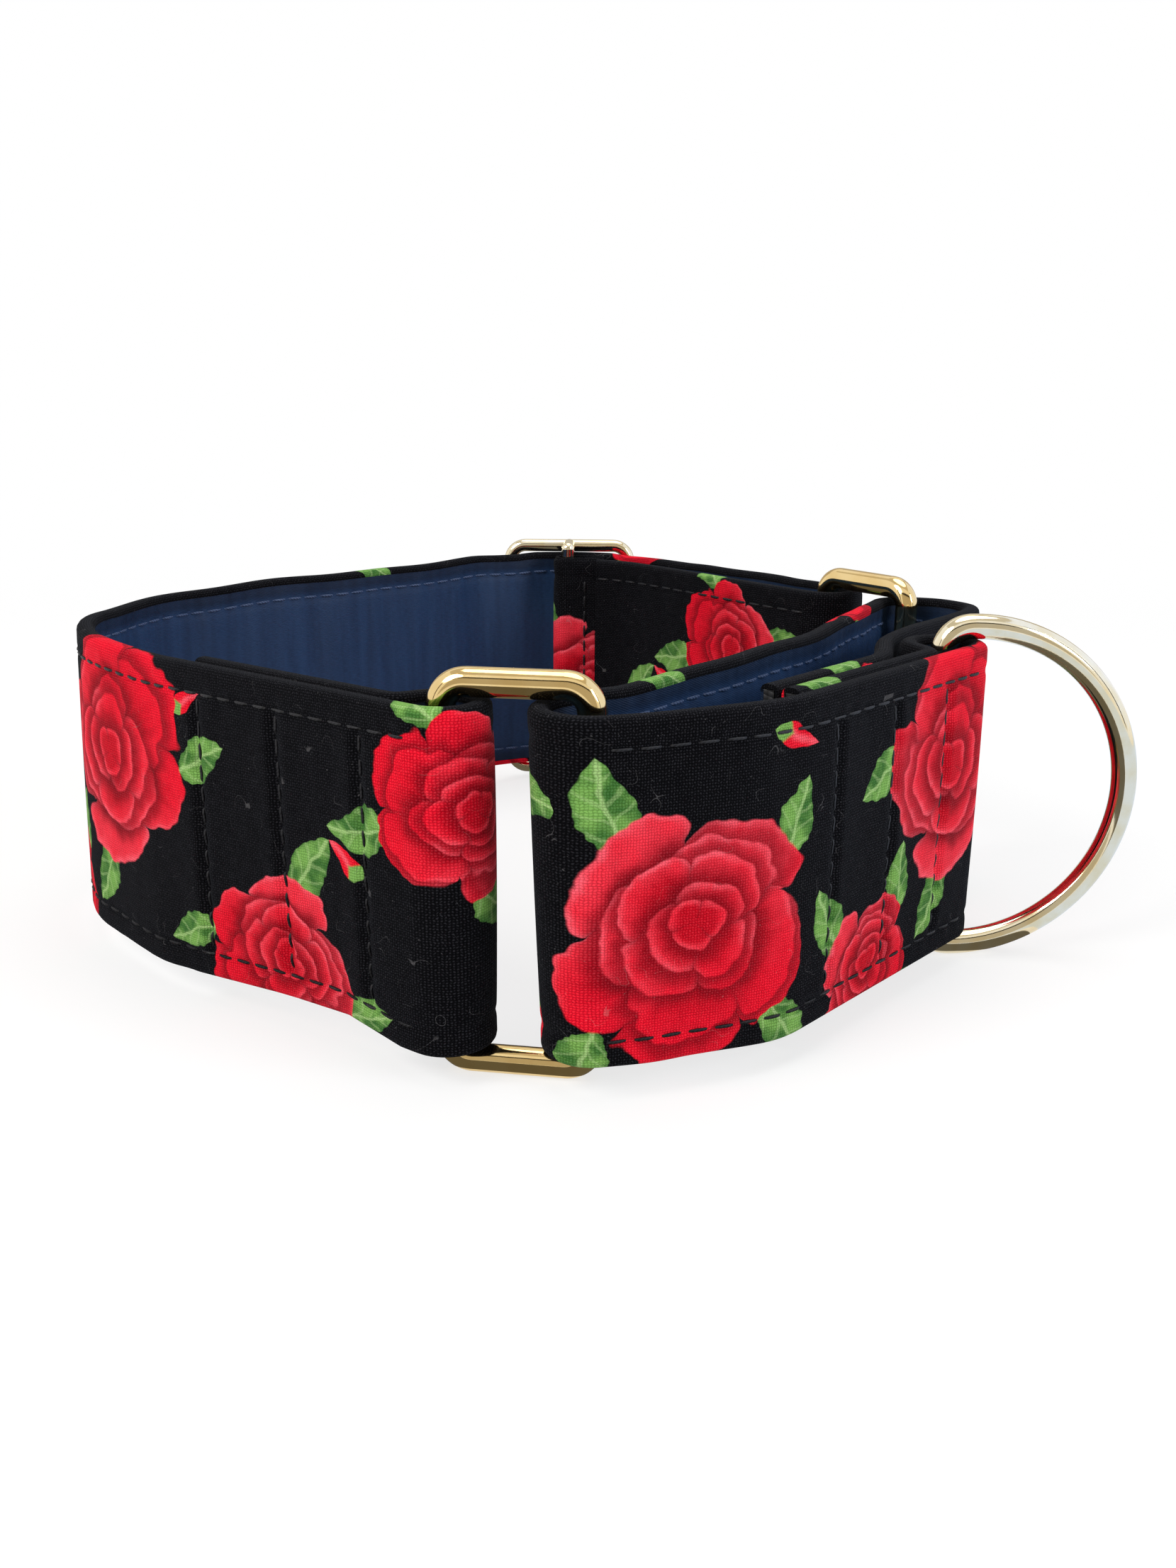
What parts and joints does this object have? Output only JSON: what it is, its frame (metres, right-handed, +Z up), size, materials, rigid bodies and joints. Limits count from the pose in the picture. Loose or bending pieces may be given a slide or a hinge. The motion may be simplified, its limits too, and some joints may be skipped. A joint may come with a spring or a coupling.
{
  "type": "martingale collar",
  "caption": "Wide fabric martingale collar: lined printed band, control loop through two wire rings, length slider and a round-bow leash ring.",
  "frame": {"origin": "middle of the neck opening, level with the lowest wires the collar stands on", "axes": "+Z up along the neck opening, +X to the leash ring's side, -Y to the front ring"},
  "size_m": [0.1817, 0.1629, 0.0588],
  "materials": {
    "printed_cotton": "plain woven cotton, black ground with red blooms and green leaves",
    "satin_lining": "navy satin, soft sheen",
    "webbing": "black woven nylon core",
    "thread": "black polyester sewing thread",
    "plated_wire": "polished pale plating over steel wire"
  },
  "bodies": {
    "main_band": {"main_webbing": "webbing", "main_cover": "printed_cotton", "main_lining": "satin_lining", "main_top_stitch": "thread", "main_bottom_stitch": "thread", "front_seams": "thread", "return_webbing": "webbing", "return_cover": "printed_cotton", "return_lining": "satin_lining", "return_top_stitch": "thread", "return_bottom_stitch": "thread"},
    "front_ring": {"front_ring": "plated_wire"},
    "rear_ring": {"rear_ring": "plated_wire"},
    "slider": {"slider_frame": "plated_wire", "slider_bar": "plated_wire", "slider_loop": "printed_cotton", "slider_seam": "thread"},
    "control_loop": {"control_webbing": "webbing", "control_cover": "printed_cotton", "control_lining": "satin_lining", "control_top_stitch": "thread", "control_bottom_stitch": "thread", "leash_ring_seams": "thread"},
    "leash_ring": {"leash_ring": "plated_wire"}
  },
  "joints": [
    {"name": "front_ring_swing", "type": "hinge", "parent": "main_band", "child": "front_ring", "pos_m": [-0.0145, -0.0775, 0.0294], "axis": [0, 0, 1], "range_deg": [-10, 10]},
    {"name": "control_loop_swing", "type": "hinge", "parent": "front_ring", "child": "control_loop", "pos_m": [0.00575, -0.08071, 0.0294], "axis": [0, 0, 1], "range_deg": [-11.53, 11.53]},
    {"name": "rear_ring_swing", "type": "hinge", "parent": "main_band", "child": "rear_ring", "pos_m": [0.0526, 0.02089, 0.0294], "axis": [0, 0, 1], "range_deg": [-9.57, 9.57]},
    {"name": "leash_ring_swing", "type": "hinge", "parent": "control_loop", "child": "leash_ring", "pos_m": [0.0625, -0.035, 0.0294], "axis": [0, 0, 1], "range_deg": [-71, 45]},
    {"name": "slider_travel", "type": "hinge", "parent": "main_band", "child": "slider", "pos_m": [-0.00059, 0.04028, 0.0294], "axis": [0, 0, -1], "range_deg": [0, 20], "deforming": ["return_webbing", "return_cover", "return_lining", "return_top_stitch", "return_bottom_stitch"]}
  ],
  "couplings": [
    {"joint": "control_loop_swing", "follows": "front_ring_swing", "ratio": -1.1433},
    {"joint": "rear_ring_swing", "follows": "front_ring_swing", "ratio": 0.9474}
  ]
}
